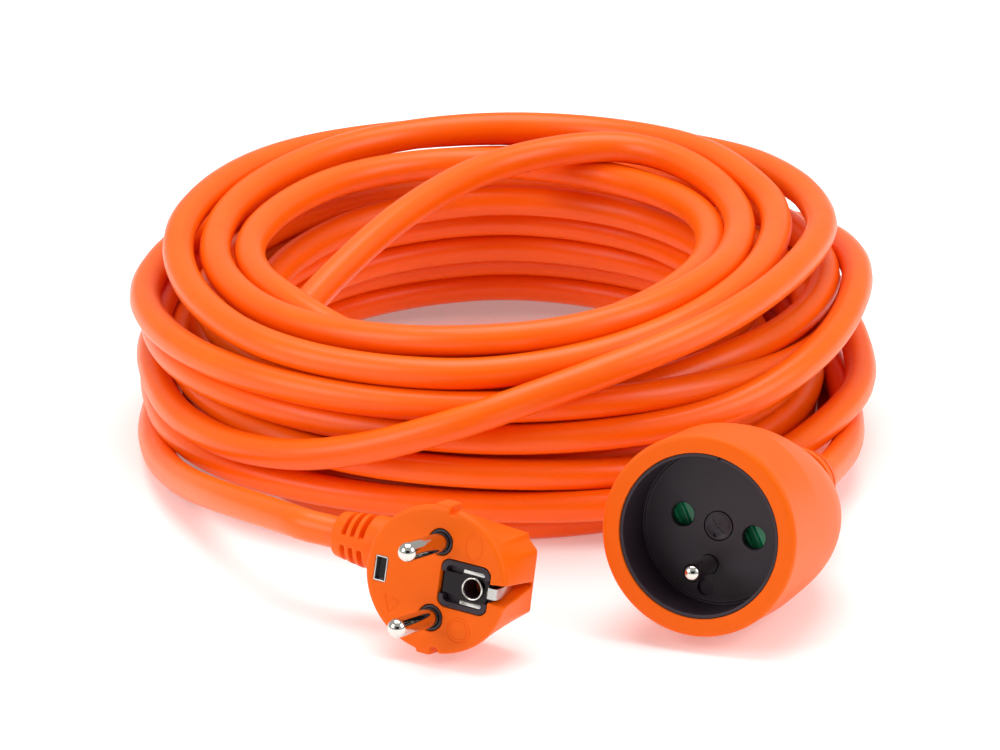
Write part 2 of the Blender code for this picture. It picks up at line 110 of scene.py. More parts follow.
def fittingFrame(place, yaw, tilt, roll):
    # yaw turns the fitting about the upright, tilt lifts its face and roll turns it about its own axis
    turn = Matrix.Rotation(math.radians(yaw), 4, "Z") @ Matrix.Rotation(math.radians(-tilt), 4, "X")
    facing = Matrix.Rotation(math.radians(90), 4, "X")
    return Matrix.Translation(place) @ turn @ facing @ Matrix.Rotation(math.radians(roll), 4, "Z")


def crease(mesh, degrees):
    # smooth shading, with a hard edge where two faces meet at more than that angle
    mesh.shade_smooth()
    mesh.set_sharp_from_angle(angle=math.radians(degrees))


def applyModifiers(item):
    bpy.context.view_layer.update()
    shape = bpy.data.meshes.new_from_object(item.evaluated_get(bpy.context.evaluated_depsgraph_get()))
    item.modifiers.clear()
    item.data = shape


def addPiece(name, bm, material, place, bodyName, node, sharp):
    # a piece that rides on a body and stands for a CAD node
    bmesh.ops.recalc_face_normals(bm, faces=bm.faces)
    mesh = bpy.data.meshes.new(name)
    bm.to_mesh(mesh)
    bm.free()
    mesh.materials.append(material)
    crease(mesh, sharp)
    item = bpy.data.objects.new(name, mesh)
    bpy.context.scene.collection.objects.link(item)
    item.matrix_world = place
    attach(item, bodyName)
    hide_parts(node)
    return item


def ringSurface(rings, capStart=True, capEnd=True):
    # rings of (x, y, z) points, all of one count, skinned one to the next
    bm = bmesh.new()
    loops = [[bm.verts.new(point) for point in ring] for ring in rings]
    count = len(loops[0])
    for first, second in zip(loops, loops[1:]):
        for step in range(count):
            after = (step + 1) % count
            bm.faces.new([first[step], first[after], second[after], second[step]])
    if capStart:
        bm.faces.new(loops[0])
    if capEnd:
        bm.faces.new(loops[-1])
    return bm


def turned(profile, sides=64, wave=None):
    # a solid turned about local Z from a closed loop of (radius, z), or a line with both ends on the axis
    bm = bmesh.new()
    rings = []
    for radius, z in profile:
        if radius < 1e-6:
            rings.append([bm.verts.new((0, 0, z))])
            continue
        ring = []
        for step in range(sides):
            angle = 2 * math.pi * (step + 0.5) / sides
            grown = radius + (wave(radius, z, angle) if wave else 0)
            ring.append(bm.verts.new((grown * math.cos(angle), grown * math.sin(angle), z)))
        rings.append(ring)
    closed = len(rings[0]) > 1
    for index in range(len(rings) if closed else len(rings) - 1):
        first, second = rings[index], rings[(index + 1) % len(rings)]
        for step in range(sides):
            after = (step + 1) % sides
            corners = [first[step % len(first)], first[after % len(first)],
                       second[after % len(second)], second[step % len(second)]]
            bm.faces.new(list(dict.fromkeys(corners)))
    return bm


def softProfile(corners, steps=4):
    # (radius, z, rounding) corners of a closed loop; each corner with a rounding becomes a small arc
    points = []
    count = len(corners)
    for index in range(count):
        here = Vector(corners[index][:2])
        before = Vector(corners[index - 1][:2])
        after = Vector(corners[(index + 1) % count][:2])
        rounding = corners[index][2]
        if not rounding:
            points.append(tuple(here))
            continue
        toBefore, toAfter = before - here, after - here
        reach = min(rounding, toBefore.length * 0.49, toAfter.length * 0.49)
        start, end = here + toBefore.normalized() * reach, here + toAfter.normalized() * reach
        for step in range(steps + 1):
            t = step / steps
            point = start * (1 - t) ** 2 + here * 2 * t * (1 - t) + end * t ** 2
            points.append(tuple(point))
    return points


def outlineBlock(outline, low, high, edge=0.0, steps=3):
    # an outline of (x, y) points between two heights, its rims rounded by edge
    count = len(outline)
    middle = Vector((sum(x for x, _ in outline) / count, sum(y for _, y in outline) / count))
    levels = [(low, 0.0), (high, 0.0)]
    if edge:
        turnSteps = [math.radians(90 * step / steps) for step in range(steps + 1)]
        bottom = [(low + edge * (1 - math.sin(a)), edge * (1 - math.cos(a))) for a in turnSteps]
        top = [(high - edge * (1 - math.sin(a)), edge * (1 - math.cos(a))) for a in turnSteps]
        levels = sorted(set(bottom + top))
    rings = []
    for z, inset in levels:
        ring = []
        for x, y in outline:
            out = Vector((x, y)) - middle
            shrunk = middle + out * max(0.0, 1 - inset / out.length)
            ring.append((shrunk.x, shrunk.y, z))
        rings.append(ring)
    return ringSurface(rings)


def roundedOutline(width, height, radius, steps=6, centre=(0, 0)):
    points = []
    for quarter, (sx, sy) in enumerate([(1, 1), (-1, 1), (-1, -1), (1, -1)]):
        for step in range(steps + 1):
            angle = math.radians(90 * quarter + 90 * step / steps)
            points.append((centre[0] + sx * (width / 2 - radius) + radius * math.cos(angle),
                           centre[1] + sy * (height / 2 - radius) + radius * math.sin(angle)))
    return points


def placed(bm, matrix):
    bmesh.ops.transform(bm, matrix=matrix, verts=bm.verts)
    return bm


def joined(*parts):
    whole = bmesh.new()
    for part in parts:
        mesh = bpy.data.meshes.new("part")
        part.to_mesh(mesh)
        part.free()
        whole.from_mesh(mesh)
        bpy.data.meshes.remove(mesh)
    return whole


def carve(item, cutters):
    # cuts each of the bmesh shapes, given in the item's own frame, out of the item
    for bm in cutters:
        bmesh.ops.recalc_face_normals(bm, faces=bm.faces)
        mesh = bpy.data.meshes.new("cutter")
        bm.to_mesh(mesh)
        bm.free()
        cutter = bpy.data.objects.new("cutter", mesh)
        bpy.context.scene.collection.objects.link(cutter)
        cutter.matrix_world = item.matrix_world
        modifier = item.modifiers.new("cut", "BOOLEAN")
        modifier.operation = "DIFFERENCE"
        modifier.object = cutter
        applyModifiers(item)
        bpy.data.objects.remove(cutter)
    return item


def soften(item, grain, rounds, ratio=0.35):
    # rebuilds the item as one even skin, rounds its edges a little as a mould does, and thins the mesh
    remesh = item.modifiers.new("skin", "REMESH")
    remesh.mode = "VOXEL"
    remesh.voxel_size = grain
    smooth = item.modifiers.new("smooth", "SMOOTH")
    smooth.factor = 0.5
    smooth.iterations = rounds
    thin = item.modifiers.new("thin", "DECIMATE")
    thin.ratio = ratio
    applyModifiers(item)
    item.data.shade_smooth()
    return item


# PVC compound injected over the fittings: soft satin skin with the fine grain of an eroded mould;
# the grain is really about 0.05 mm and is drawn coarser, so that it shows
def makeMouldedPvc():
    settings = {"colours": ("F66600", "EF5E00"), "clouds": 9 * mm, "grain": 0.18 * mm, "roughness": 0.42,
                "specular": 0.15, "bump": 0.05 * mm}
    material, tree, shader, place = newMaterial("moulded PVC, satin", {
        "Roughness": settings["roughness"], "IOR": 1.53, "Specular IOR Level": settings["specular"]})
    twoTone(tree, place, shader, settings["clouds"], 2.0, settings["colours"])
    grain = addNode(tree, "ShaderNodeTexNoise", {"Scale": 1 / settings["grain"], "Detail": 2.0},
                    {"Vector": place})
    bump = addNode(tree, "ShaderNodeBump", {"Strength": 0.12, "Distance": settings["bump"]},
                   {"Height": grain.outputs["Fac"]})
    tree.links.new(bump.outputs["Normal"], shader.inputs["Normal"])
    return material


# PVC drawn through a die over the cores: smoother than the fittings, with faint unevenness along its run;
# its own grain, about 0.1 mm, is drawn coarser
def makeExtrudedPvc():
    settings = {"colours": ("FF6C00", "F86000"), "clouds": 14 * mm, "ripple": 7.0 * mm, "grain": 0.35 * mm,
                "roughness": 0.34, "specular": 0.32, "rippleBump": 0.5 * mm, "grainBump": 0.06 * mm}
    material, tree, shader, place = newMaterial("extruded PVC jacket", {
        "Roughness": settings["roughness"], "IOR": 1.53, "Specular IOR Level": settings["specular"]})
    twoTone(tree, place, shader, settings["clouds"], 3.0, settings["colours"])
    ripple = addNode(tree, "ShaderNodeTexNoise", {"Scale": 1 / settings["ripple"], "Detail": 1.0},
                     {"Vector": place})
    grain = addNode(tree, "ShaderNodeTexNoise", {"Scale": 1 / settings["grain"], "Detail": 2.0},
                    {"Vector": place})
    fine = addNode(tree, "ShaderNodeBump", {"Strength": 0.08, "Distance": settings["grainBump"]},
                   {"Height": grain.outputs["Fac"]})
    bump = addNode(tree, "ShaderNodeBump", {"Strength": 0.25, "Distance": settings["rippleBump"]},
                   {"Height": ripple.outputs["Fac"], "Normal": fine.outputs["Normal"]})
    tree.links.new(bump.outputs["Normal"], shader.inputs["Normal"])
    return material


# polyamide moulded in a spark-eroded tool: near black with a faint violet tone, semi-matt, a few pale
# scuffs; the tool's grain, about 0.05 mm, is drawn coarser
def makeBlackThermoplastic():
    settings = {"colour": "2A1D26", "scuff": "46353F", "scuffSize": 2.5 * mm, "grain": 0.25 * mm,
                "roughness": 0.42, "bump": 0.04 * mm}
    material, tree, shader, place = newMaterial("moulded polyamide, black", {
        "IOR": 1.53, "Specular IOR Level": 0.4})
    cloud = addNode(tree, "ShaderNodeTexNoise",
                    {"Scale": 1 / settings["scuffSize"], "Detail": 5.0, "Roughness": 0.65}, {"Vector": place})
    ramp = addNode(tree, "ShaderNodeValToRGB", None, {"Fac": cloud.outputs["Fac"]})
    ramp.color_ramp.elements[0].position = 0.52
    ramp.color_ramp.elements[0].color = linearColour(settings["colour"])
    ramp.color_ramp.elements[1].position = 0.86
    ramp.color_ramp.elements[1].color = linearColour(settings["scuff"])
    tree.links.new(ramp.outputs["Color"], shader.inputs["Base Color"])
    gloss = addNode(tree, "ShaderNodeMapRange", {"To Min": settings["roughness"] - 0.08,
                                                 "To Max": settings["roughness"] + 0.12},
                    {"Value": cloud.outputs["Fac"]})
    tree.links.new(gloss.outputs["Result"], shader.inputs["Roughness"])
    grain = addNode(tree, "ShaderNodeTexNoise", {"Scale": 1 / settings["grain"], "Detail": 2.0},
                    {"Vector": place})
    bump = addNode(tree, "ShaderNodeBump", {"Strength": 0.15, "Distance": settings["bump"]},
                   {"Height": grain.outputs["Fac"]})
    tree.links.new(bump.outputs["Normal"], shader.inputs["Normal"])
    return material


# metals: a clean tone with fine wear that only shows in how sharply it mirrors
def makeMetal(name, colour, roughness, wear, wearSize):
    material, tree, shader, place = newMaterial(name, {
        "Base Color": linearColour(colour), "Metallic": 1.0})
    noise = addNode(tree, "ShaderNodeTexNoise", {"Scale": 1 / (wearSize * mm), "Detail": 4.0},
                    {"Vector": place})
    gloss = addNode(tree, "ShaderNodeMapRange",
                    {"To Min": max(0.02, roughness - wear), "To Max": roughness + wear},
                    {"Value": noise.outputs["Fac"]})
    tree.links.new(gloss.outputs["Result"], shader.inputs["Roughness"])
    return material


# self-coloured plastics of the small parts, moulded smooth
def makePlainPlastic(name, colours, roughness):
    material, tree, shader, place = newMaterial(name, {"Roughness": roughness, "IOR": 1.5})
    twoTone(tree, place, shader, 1.5 * mm, 2.0, colours)
    return material


# the earth core's insulation: green with yellow stripes along it
def makeStripedCore():
    settings = {"green": "1E8C36", "yellow": "E8CF1E", "stripe": 6 * mm, "greenShare": 0.6}
    material, tree, shader, place = newMaterial("extruded PVC, green and yellow", {
        "Roughness": 0.45, "IOR": 1.53})
    wave = addNode(tree, "ShaderNodeTexWave", {"Scale": 1 / settings["stripe"], "wave_type": "BANDS"},
                   {"Vector": place})
    ramp = addNode(tree, "ShaderNodeValToRGB", None, {"Fac": wave.outputs["Fac"]})
    ramp.color_ramp.interpolation = "CONSTANT"
    ramp.color_ramp.elements[0].color = linearColour(settings["green"])
    ramp.color_ramp.elements[1].position = settings["greenShare"]
    ramp.color_ramp.elements[1].color = linearColour(settings["yellow"])
    tree.links.new(ramp.outputs["Color"], shader.inputs["Base Color"])
    return material


mouldedPvc = makeMouldedPvc()
extrudedPvc = makeExtrudedPvc()
blackPolyamide = makeBlackThermoplastic()
nickelPlate = makeMetal("nickel-plated brass, barrel polished", "D9D4CC", 0.10, 0.04, 0.8)
darkSteel = makeMetal("spring steel, blued", "2B2829", 0.14, 0.05, 0.5)
springSteel = makeMetal("spring steel, nickel flash", "C9C6C2", 0.24, 0.08, 0.5)
brassStrip = makeMetal("stamped brass", "D8B36A", 0.30, 0.08, 0.5)
greenPlastic = makePlainPlastic("moulded polycarbonate, green", ("10704A", "158C5A"), 0.16)
brownCore = makePlainPlastic("extruded PVC, brown", ("5A2E18", "67371E"), 0.45)
blueCore = makePlainPlastic("extruded PVC, blue", ("1C4FA8", "225AB8"), 0.45)
stripedCore = makeStripedCore()
print("materials made")

# where the two fittings lie: local +Z leaves the mating face, +Y is up across it
plugFrame = fittingFrame((-0.0157, coilY - 0.1650, 0.0216), -28.4, 10.0, -3.5)
socketFrame = fittingFrame((0.0480, coilY - 0.1546, 0.0289), -20.8, 9.6, -10.7)

# the cord: one strand from the socket round the coil to the plug
cordSettings = {
    "diameter": 8.0 * mm,
    "length": 10.0,
    "spacing": 4.0 * mm,        # between the strand's points
    "settleRounds": 260,        # rounds of pushing touching turns apart
    "clearance": 8.12 * mm,     # between the middles of touching turns
    "settleSkip": 6,            # points along the strand that never count as touching
    "gravity": 0.003 * mm,      # drop in each round
    "looseness": (1.8, 2.2),    # how far the even turns stray in radius and height, in millimetres
    "heldPoints": 8,            # at each end, fixed inside the fitting
    "leadPoints": 62,           # the free run before the plug, eased to one gentle bend
    "exitPoints": 30,           # the free run out of the socket
    "easing": {"lead": 60, "exit": 25, "whole": 3, "leadAgain": 36},
    "lastRadius": 89.5,         # where the last turn leaves for the plug, in millimetres
    "lastHeight": 4.1,
    "sideSteps": 4,
}

# the loose turns, in millimetres about the coil's middle, from the socket's end over the top of the coil
looseTurns = [
    (87, -12, 12), (84, 18, 12), (74, 50, 12), (52, 80, 12), (22, 98, 12), (-12, 102, 12), (-46, 90, 12),
    (-73, 64, 12), (-86, 30, 11.6), (-88, -2, 12), (-82, -34, 12), (-65, -60, 12), (-36, -78, 12),
    (0, -85, 12), (34, -81, 12.5), (62, -65, 13), (80, -44, 13.5), (89, -24, 14), (91.5, 0, 16),
    (87, 30, 20), (72, 62, 21), (45, 88, 21), (10, 101, 21), (-30, 95, 20.5), (-64, 74, 19.5),
    (-82, 42, 18.5), (-88, 6, 18), (-83, -33, 17.5), (-72, -56, 17.8), (-62, -69, 19.5), (-50, -79, 22),
    (-34, -87, 27), (-13, -92, 35), (6, -90, 41.5), (30, -82, 48.5), (55, -63, 53.5), (72, -34, 55),
    (81, -4, 55), (80, 20, 54), (75, 37, 53.5), (63, 58, 52), (40, 78, 49), (10, 88, 47.5), (-20, 85, 48.5),
    (-45, 71, 51), (-62, 52, 53), (-74, 30, 53.5), (-81, 8, 52), (-81, -12, 48.5), (-74, -36, 46),
    (-60, -59, 44.6), (-40, -74, 43.6), (-17, -83, 44.2), (4, -84, 45.8), (28, -78, 49), (48, -64, 52.5),
    (63, -38, 55), (69, -8, 55), (68, 15, 55.5), (61, 32, 56.5), (48, 54, 57), (26, 71, 56), (0, 77, 55.5),
    (-26, 73, 54.5), (-50, 56, 53.6), (-67, 28, 52.4), (-72.5, 0, 50), (-68, -25, 48), (-54, -49, 46.8),
    (-30, -68, 47.7), (-5, -76, 49.6), (18, -74, 51.8), (39, -62, 54.2), (55, -40, 55.6), (61, -16, 55.3),
    (62, 10, 55), (57, 33, 56), (46, 49, 57), (31, 57, 57.4), (13, 53, 57), (-4, 41, 56.5), (-16, 25, 55.8),
    (-26, 10, 54.2), (-35, -4, 51.2), (-44, -18, 47), (-52, -32, 42.6), (-55, -45, 39.5), (-42, -61, 38.6),
    (-20, -69, 40.5), (-2, -71, 43.2), (16, -66, 47.5), (36, -53, 51), (49, -31, 52.4), (54, -6, 52),
    (52, 20, 51.3), (41, 43, 50), (22, 59, 49.6), (0, 65, 50), (-22, 61.5, 50.3), (-43, 47, 50.4),
    (-58, 22, 49.8), (-64, 0, 47.6), (-61, -22, 45.6), (-50, -44, 43.5), (-32, -61, 40.3), (-12, -69, 37.4),
]

# two layers of even turns below: radius and height at the start and at the end, seen from four sides
evenLayers = [
    {"turns": 5, "front": (70, 36, 72, 4), "right": (61, 35, 70, 5), "back": (64, 45, 88, 6),
     "left": (61, 40, 70, 5)},
    {"turns": 4, "front": (78, 4, 77, 36), "right": (79, 6, 79, 38), "back": (97, 6, 80, 42),
     "left": (78, 6, 75, 36)},
]

# the outer layer's turns: radius and height at the right, back, left and front in turn, down to the floor
outerTurns = [(84, 41), (86, 44), (90, 35.5), (86, 37.6), (85, 33), (93, 32), (86, 28), (84, 30),
              (89, 42), (99, 22), (82, 26), (84, 20), (85, 6), (105, 5)]

# where the cord runs free of the coil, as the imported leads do
plugRoute = [(-89.0, -33.0, 4.2), (-85.5, -44.0, 5.2), (-78.5, -68.0, 9.8), (-71.0, -91.0, 16.4),
             (-62.0, -110.0, 21.0)]
socketRoute = [(84.2, -54.0, 13.2), (88.0, -40.0, 12.2)]


def polarPoint(radius, height, degrees):
    turn = math.radians(degrees)
    return (radius * math.cos(turn), radius * math.sin(turn), height)


def stationValue(layer, index):
    # radius and height of an even layer at its quarter turn of that number, counted from the front
    name = ("front", "right", "back", "left")[index % 4]
    startRadius, startHeight, endRadius, endHeight = layer[name]
    share = index / (4 * layer["turns"])
    strayRadius, strayHeight = cordSettings["looseness"]
    radius = startRadius + (endRadius - startRadius) * share
    radius += strayRadius * math.sin(2.3 * index + startRadius)
    height = startHeight + (endHeight - startHeight) * share
    height += strayHeight * math.sin(1.7 * index + startRadius)
    return (radius, max(height, cordSettings["diameter"] / 2 / mm))


def coilStations():
    stations = []
    for layer in evenLayers:
        stations += [stationValue(layer, index) for index in range(4 * layer["turns"])]
    return stations + [stationValue(evenLayers[-1], 4 * evenLayers[-1]["turns"])] + outerTurns


def evenTurns():
    # three points to each quarter turn, eased from one station to the next
    points = []
    stations = coilStations()
    for index, (first, second) in enumerate(zip(stations, stations[1:])):
        for step in range(3):
            share = 0.5 - 0.5 * math.cos(math.pi * step / 3)
            radius = first[0] + (second[0] - first[0]) * share
            height = first[1] + (second[1] - first[1]) * share
            points.append(polarPoint(radius, height, 90 * (index - 1) + 30 * step))
    endRadius, endHeight = stations[-1]
    lastRadius, lastHeight = cordSettings["lastRadius"], cordSettings["lastHeight"]
    for step in range(3):
        share = step / 3
        radius = endRadius + (lastRadius - endRadius) * share
        points.append(polarPoint(radius, endHeight + (lastHeight - endHeight) * share, 90 + 30 * step))
    return points + [polarPoint(lastRadius, lastHeight, 180)]


def smoothLine(knots, spacing):
    # points one spacing apart on a Catmull-Rom curve through the given ones
    knots = np.array(knots, float)
    knots = np.vstack([2 * knots[0] - knots[1], knots, 2 * knots[-1] - knots[-2]])
    dense = []
    t = np.linspace(0, 1, 16, endpoint=False)[:, None]
    for a, b, c, d in zip(knots, knots[1:], knots[2:], knots[3:]):
        dense.append(0.5 * (2 * b + (c - a) * t + (2 * a - 5 * b + 4 * c - d) * t ** 2
                            + (3 * b - a - 3 * c + d) * t ** 3))
    dense = np.vstack(dense + [knots[-2][None]])
    run = np.concatenate([[0], np.cumsum(np.linalg.norm(np.diff(dense, axis=0), axis=1))])
    stops = np.linspace(0, run[-1], int(round(run[-1] / spacing)) + 1)
    return np.stack([np.interp(stops, run, dense[:, axis]) for axis in range(3)], axis=1)


def touchingPairs(line, reach, skip):
    tree = kdtree.KDTree(len(line))
    for index, point in enumerate(line):
        tree.insert(point, index)
    tree.balance()
    found = []
    for index, point in enumerate(line):
        found += [(index, other) for _, other, _ in tree.find_range(point, reach) if other > index + skip]
    return np.array(found)


def settleStrand(rest):
    # pushes touching turns apart and lets them sink, and smooths only how far each point has moved
    line = rest.copy()
    count = len(line)
    reach = cordSettings["clearance"]
    fromEnd = np.minimum(np.arange(count), np.arange(count)[::-1])
    free = np.clip((fromEnd - cordSettings["heldPoints"]) / 12.0, 0, 1)[:, None]
    for step in range(cordSettings["settleRounds"]):
        if step % 8 == 0:
            pairs = touchingPairs(line, reach * 1.25, cordSettings["settleSkip"])
        gap = line[pairs[:, 0]] - line[pairs[:, 1]]
        size = np.linalg.norm(gap, axis=1)
        push = np.clip(reach - size, 0, None)
        move = gap / np.maximum(size, 1e-6)[:, None] * push[:, None] * 0.5
        total = np.zeros_like(line)
        hits = np.zeros(count)
        np.add.at(total, pairs[:, 0], move)
        np.add.at(total, pairs[:, 1], -move)
        np.add.at(hits, pairs[push > 0].ravel(), 1)
        line += total / np.maximum(hits, 1)[:, None] * 0.9 * free
        line[:, 2] -= cordSettings["gravity"] * free[:, 0]
        shift = line - rest
        for _ in range(2):
            shift[1:-1] += 0.42 * (0.5 * (shift[2:] + shift[:-2]) - shift[1:-1])
        line = rest + shift * 0.9985
        line[:, 2] = np.maximum(line[:, 2], cordSettings["diameter"] / 2)
    size = np.linalg.norm(line[pairs[:, 0]] - line[pairs[:, 1]], axis=1)
    print("strand settled, closest turns", round(float(size.min()) / mm, 2), "mm apart")
    return line


def strandLine():
    # the whole unsettled strand, from inside the socket to inside the plug
    inSocket = [tuple(socketFrame @ Vector((0, 0, -depth * mm))) for depth in (66, 72, 78, 86, 90)]
    inPlug = [tuple(plugFrame @ Vector((-x * mm, 0, -19.5 * mm))) for x in (48, 43.5, 40, 34, 28, 21)]
    free = np.array(socketRoute + looseTurns + evenTurns() + plugRoute, float) * mm
    free[:, 1] += coilY
    return smoothLine(np.vstack([inSocket, free, inPlug]), cordSettings["spacing"])


def easeLine(line, first, last, rounds):
    # draws each point between first and last towards the middle of its neighbours
    for _ in range(rounds):
        middle = 0.5 * (line[first + 1:last + 1] + line[first - 1:last - 1])
        line[first:last] += 0.5 * (middle - line[first:last])
    return line


def makeCord():
    line = strandLine()
    easing = cordSettings["easing"]
    first, last = cordSettings["heldPoints"], len(line) - cordSettings["heldPoints"]
    leadStart = len(line) - cordSettings["leadPoints"]
    line = easeLine(line, leadStart, last, easing["lead"])
    line = easeLine(line, first, cordSettings["exitPoints"], easing["exit"])
    line = settleStrand(line)
    line = easeLine(line, first, last - 1, easing["whole"])
    line = easeLine(line, leadStart, last, easing["leadAgain"])
    line[:, 2] = np.maximum(line[:, 2], cordSettings["diameter"] / 2)
    run = float(np.linalg.norm(np.diff(line, axis=0), axis=1).sum())
    print("cord is", round(run, 3), "m long in", len(line), "points")
    data = bpy.data.curves.new("cord", "CURVE")
    data.dimensions = "3D"
    data.bevel_depth = cordSettings["diameter"] / 2
    data.bevel_resolution = cordSettings["sideSteps"]
    data.use_fill_caps = True
    spline = data.splines.new("POLY")
    spline.points.add(len(line) - 1)
    for slot, point in zip(spline.points, line):
        slot.co = (*point, 1.0)
    spline.use_smooth = True
    data.materials.append(extrudedPvc)
    item = bpy.data.objects.new("cord", data)
    bpy.context.scene.collection.objects.link(item)
    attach(item, cordSet)
    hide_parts("cord_coil", "cord_lead_plug", "cord_lead_socket")
    return item


cord = makeCord()
print("cord made")


# the plug
plugSettings = {
    "halfWidth": 19.3, "halfHeight": 18.2,          # of the round face
    "grip": [(17.0, -7.0), (16.7, 8.4), (13.5, 10.8), (13.4, 12.0), (-12.0, 12.0), (-16.4, 8.0),
             (-16.4, -7.0), (-10.0, -12.3), (10.0, -12.3)],     # corners of the back's outline
    "depth": 19.6, "slope": 0.2,                    # the rear falls towards the cord
    "cordDepth": 19.5, "neckRadius": 7.0,
    "reliefStart": 20.0, "reliefEnd": 37.4, "reliefThin": 5.5,
    "reliefSlots": (28.2, 30.8, 33.4), "slotHalf": 0.38, "cordBore": 4.25,
    "pinPitch": 19.0, "pinDiameter": 4.8, "pinLength": 19.0, "pinRoot": 10.8,
    "earthOffset": 10.0,
    "window": (7.9, 13.4, 11.8, 2.2),               # its middle, width, height and corner radius
    "clipWindow": (-15.1, -0.7, 3.4, 6.4),          # the middle's x and y, width and height
    "skin": 0.26,                                   # grain of the rebuilt surface
    "roundMarks": [(8.0, -10.9, 3.1, 3.1, 40), (8.0, -10.9, 2.3, 2.3, 32), (9.2, 10.2, 2.3, 3.2, 40)],
    "triangleMark": [(-13.0, -6.6), (-8.9, -7.6), (-11.4, -11.0)],
    "markRadius": 0.19, "markHeight": -0.04,        # of the line, and its middle above the face
}


def inMillimetres(place):
    return place @ Matrix.Scale(mm, 4)


def plugPiece(name, bm, material, node, shift=(0, 0, 0), sharp=40):
    # a piece drawn in millimetres in the plug's own frame
    place = inMillimetres(plugFrame @ Matrix.Translation(Vector(shift) * mm))
    return addPiece(name, bm, material, place, cordSet, node, sharp)


def socketPiece(name, bm, material, node, shift=(0, 0, 0), bodyName=cordSet, sharp=40):
    place = inMillimetres(socketFrame @ Matrix.Translation(Vector(shift) * mm))
    return addPiece(name, bm, material, place, bodyName, node, sharp)


def polygonReach(corners, c, s):
    # how far a ray from the middle runs before it leaves the outline
    reaches = []
    for (x0, y0), (x1, y1) in zip(corners, corners[1:] + corners[:1]):
        cross = c * (y1 - y0) - s * (x1 - x0)
        if abs(cross) < 1e-9:
            continue
        reach = (x0 * (y1 - y0) - y0 * (x1 - x0)) / cross
        share = (x0 * s - y0 * c) / cross
        if reach > 0 and -1e-6 <= share <= 1 + 1e-6:
            reaches.append(reach)
    return min(reaches)


def plugShell():
    p = plugSettings
    sides = 180
    face, back = [], []
    for step in range(sides):
        angle = 2 * math.pi * step / sides
        c, s = math.cos(angle), math.sin(angle)
        face.append((p["halfWidth"] * c, p["halfHeight"] * s))
        reach = polygonReach(p["grip"], c, s)
        back.append((reach * c, reach * s))
    # depth, how far from the face's outline to the grip's, and how far the edge is drawn in
    levels = [(0.0, 0.0, 1.0), (0.25, 0.0, 0.3), (0.7, 0.0, 0.0), (2.4, 0.0, 0.0), (2.7, 0.02, 0.35),
              (8.0, 0.34, 0.2), (18.4, 1.0, 0.0), (p["depth"] - 0.3, 1.0, 0.1),
              (p["depth"], 1.0, 0.6)]
    rings = []
    for depth, share, inset in levels:
        ring = []
        for (x0, y0), (x1, y1) in zip(face, back):
            x, y = x0 + (x1 - x0) * share, y0 + (y1 - y0) * share
            shrink = 1 - inset / math.hypot(x, y)
            drop = share * p["slope"] * (p["halfWidth"] - x)
            ring.append((x * shrink, y * shrink, -depth - drop))
        rings.append(ring)
    return ringSurface(rings)


def makePlugBody():
    p = plugSettings
    sideways = Matrix.Translation((0, 0, -p["cordDepth"])) @ Matrix.Rotation(math.radians(-90), 4, "Y")
    neck = placed(turned([(0, 6.0), (p["neckRadius"], 6.0), (p["neckRadius"], 19.7), (0, 19.7)]), sideways)
    guides = []
    for side in (-1, 1):
        outline = roundedOutline(4.0, 3.4, 0.4, centre=(-0.9, side * (p["halfHeight"] - 1.05)))
        guides.append(outlineBlock(outline, -6.5, -0.5))
    body = plugPiece("plug-body", joined(plugShell(), neck, *guides), mouldedPvc, "plug_body")
    soften(body, p["skin"], 1, 1.0)
    middle, width, height, corner = p["window"]
    cutters = [outlineBlock(roundedOutline(width + 0.3, height + 0.3, corner, centre=(middle, 0)), -7.0, 3.0)]
    clipX, clipY, clipWidth, clipHeight = p["clipWindow"]
    cutters.append(outlineBlock(roundedOutline(clipWidth, clipHeight, 0.3, centre=(clipX, clipY)), -5.0, 3.0))
    for side in (-1, 1):
        cutters.append(turned([(0, -3.2), (3.35, -3.2), (3.35, 3.0), (0, 3.0)], 48))
        placed(cutters[-1], Matrix.Translation((0, side * p["pinPitch"] / 2, 0)))
        notch = roundedOutline(1.9, 3.4, 0.3, centre=(2.2, side * p["halfHeight"]))
        cutters.append(outlineBlock(notch, -9.0, 3.0))
    # the groove for the earth spring narrows from the face to the back of the grip
    groove = [[(14.0, 2.4, 2.0), (22.0, 3.4, 2.0), (22.0, -3.4, 2.0), (14.0, -2.4, 2.0)],
              [(12.8, 0.3, -19.0), (22.0, 1.0, -19.0), (22.0, -1.0, -19.0), (12.8, -0.3, -19.0)]]
    cutters.append(ringSurface(groove))
    carve(body, cutters)
    soften(body, p["skin"], 3, 0.4)
    return body


def makeReliefShape(start, end, thick, thin, slots, slotHalf, spine, bore):
    # a sleeve with slots across it, left whole along a spine on two sides, and a drawn-in end
    profile = []
    steps = int((end - start) / 0.28)
    for step in range(steps + 1):
        along = start + (end - start) * step / steps
        share = (along - start) / (end - start)
        radius = thick + (thin - thick) * max(0.0, (share - 0.35) / 0.65) ** 1.3
        if step == 0:
            radius -= 0.3
        if step > steps - 3:
            radius -= (0.12, 0.4, 0.9)[step - steps + 2]
        profile.append((radius, along))
    profile += [(bore, end), (bore, start)]

    def slotted(radius, along, angle):
        if radius < bore + 0.05:
            return 0.0
        nearest = min(abs(along - slot) for slot in slots)
        depth = 2.0 * max(0.0, 1 - max(0.0, nearest - slotHalf) / 0.28)
        fromSpine = abs((angle + math.pi / 2) % math.pi - math.pi / 2)
        held = min(1.0, max(0.0, (fromSpine - spine) / 0.10))
        return -min(depth * held, radius - bore - 0.25)

    return turned(profile, 96, slotted)


